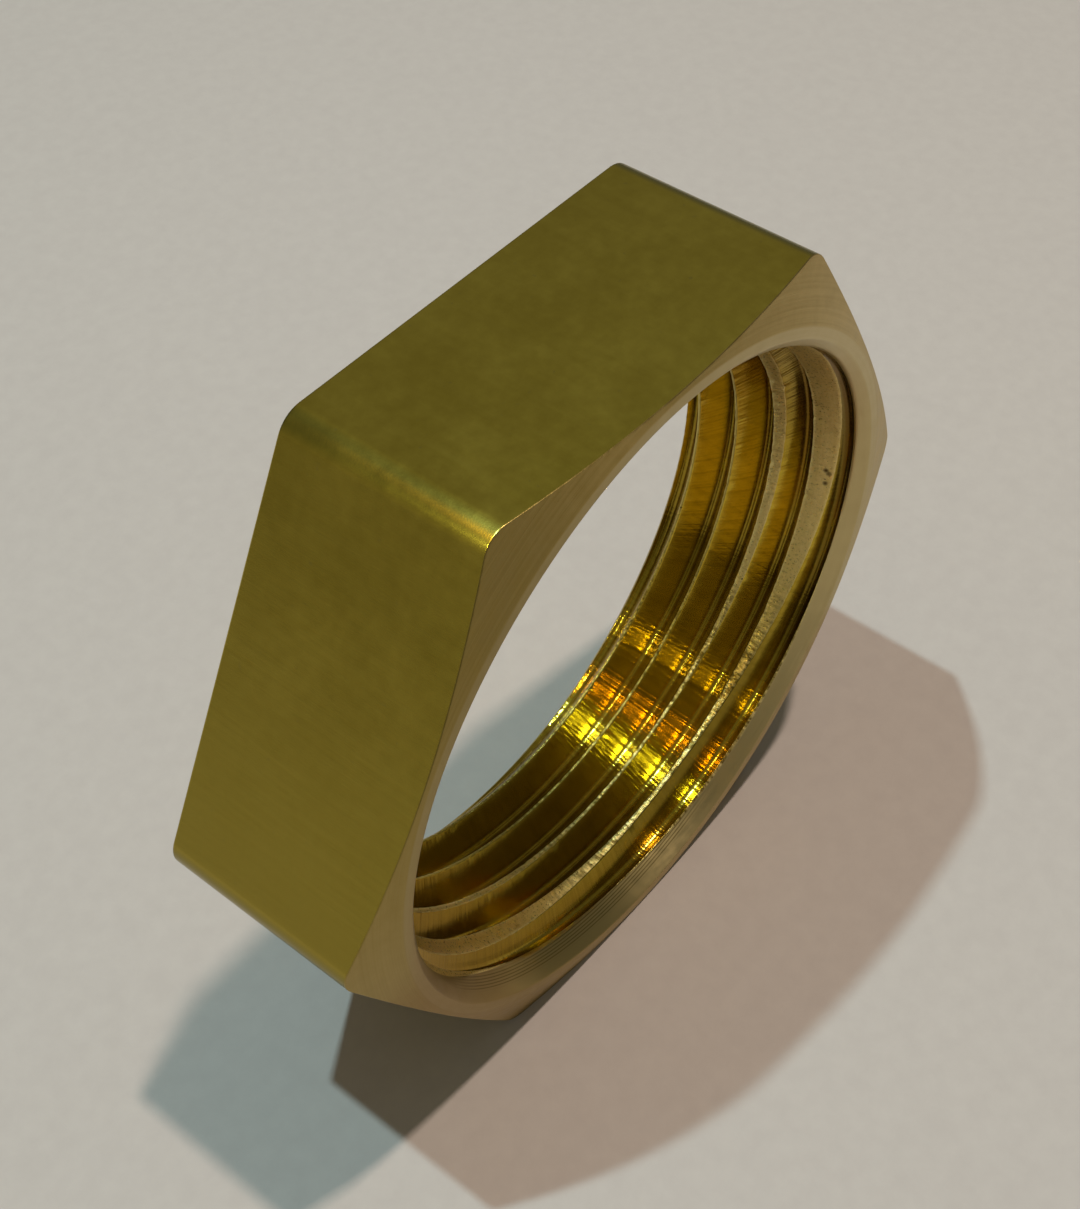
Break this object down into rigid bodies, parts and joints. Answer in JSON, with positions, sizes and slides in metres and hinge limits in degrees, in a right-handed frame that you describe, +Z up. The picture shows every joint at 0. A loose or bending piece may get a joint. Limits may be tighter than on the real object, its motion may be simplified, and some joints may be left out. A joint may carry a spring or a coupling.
{
  "type": "lock nut",
  "caption": "Thin turned brass hexagon lock nut with a coarse internal pipe thread, one chamfered face with a countersunk mouth and one flat bearing face.",
  "frame": {"origin": "middle of the bore, on the thread axis and half-way through the thickness", "axes": "the thread axis lies along Y with the chamfered mouth facing -Y and the flat bearing face facing +Y; the nut stands on one of its flats, facing -Z; corners at -X and +X; +Z up"},
  "size_m": [0.0412, 0.011, 0.036],
  "materials": {
    "brass": "turned and drawn, satin, lightly tarnished"
  },
  "bodies": {
    "root": {"lock_nut": "brass"}
  },
  "joints": []
}
